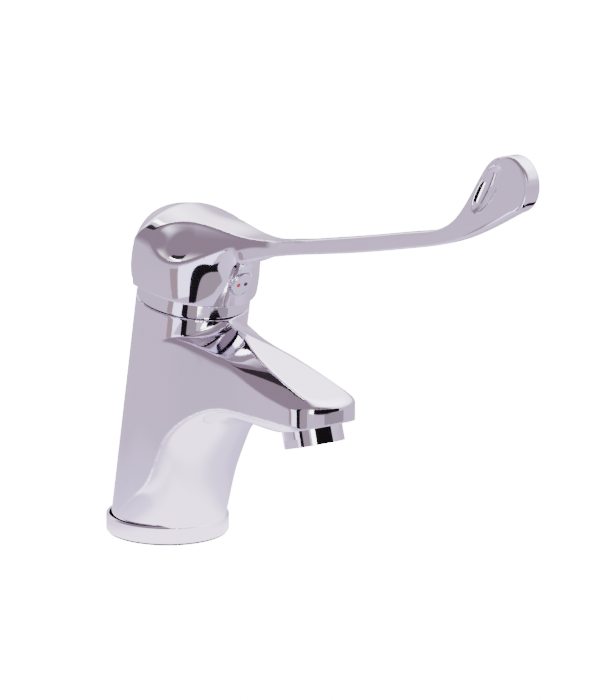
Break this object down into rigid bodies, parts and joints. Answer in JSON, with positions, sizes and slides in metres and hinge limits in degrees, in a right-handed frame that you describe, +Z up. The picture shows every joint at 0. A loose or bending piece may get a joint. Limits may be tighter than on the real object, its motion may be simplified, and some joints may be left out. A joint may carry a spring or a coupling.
{
  "type": "elbow lever tap",
  "caption": "Single-hole basin mixer with a leaning round body, a tapering spout and a long elbow lever with an upturned paddle.",
  "frame": {"origin": "centre of the foot's underside, on the basin deck", "axes": "+X forwards along the spout and the lever, +Z up, and the part is symmetric about the plane Y = 0 apart from its dots"},
  "size_m": [0.2463, 0.0514, 0.1904],
  "materials": {
    "chrome": "polished",
    "black_rubber": "matte",
    "white_plastic": "satin",
    "grey_plastic": "satin",
    "red_plastic": "satin",
    "ceramic": "polished",
    "brass": "machined",
    "steel": "machined",
    "steel_mesh": "woven mesh",
    "button": "polished",
    "red_enamel": "gloss",
    "blue_enamel": "gloss",
    "aerator_plastic": "satin"
  },
  "bodies": {
    "body": {"body_casting": "chrome", "base_ring": "chrome", "base_gasket": "black_rubber", "cartridge_seals": "black_rubber", "cartridge_base": "white_plastic", "cartridge_housing": "white_plastic", "fixed_disc": "ceramic", "cartridge_nut": "brass", "cover_ring": "chrome", "cover_seal": "black_rubber", "aerator_housing": "chrome", "aerator_insert": "aerator_plastic", "aerator_screen": "steel_mesh", "aerator_washer": "black_rubber"},
    "rotor": {"rotor": "grey_plastic", "temperature_ring": "red_plastic", "pivot_pin": "steel"},
    "carrier": {"moving_disc": "ceramic", "disc_carrier": "grey_plastic"},
    "handle": {"stem": "brass", "handle_casting": "chrome", "grub_screw": "steel", "index_button": "button", "hot_dot": "red_enamel", "cold_dot": "blue_enamel"}
  },
  "joints": [
    {"name": "turn", "type": "hinge", "parent": "body", "child": "rotor", "pos_m": [0.01689, 0, 0.1], "axis": [0.1771, 0, 0.9842], "range_deg": [-45, 45]},
    {"name": "lift", "type": "hinge", "parent": "rotor", "child": "handle", "pos_m": [0.01619, 0, 0.09606], "axis": [0, -1, 0], "range_deg": [0, 22]},
    {"name": "disc_slide", "type": "slide", "parent": "rotor", "child": "carrier", "axis": [0.9842, 0, -0.1771], "range_m": [0, 0.005]}
  ],
  "couplings": [
    {"joint": "disc_slide", "follows": "lift", "m_per_rad": 0.012683}
  ]
}
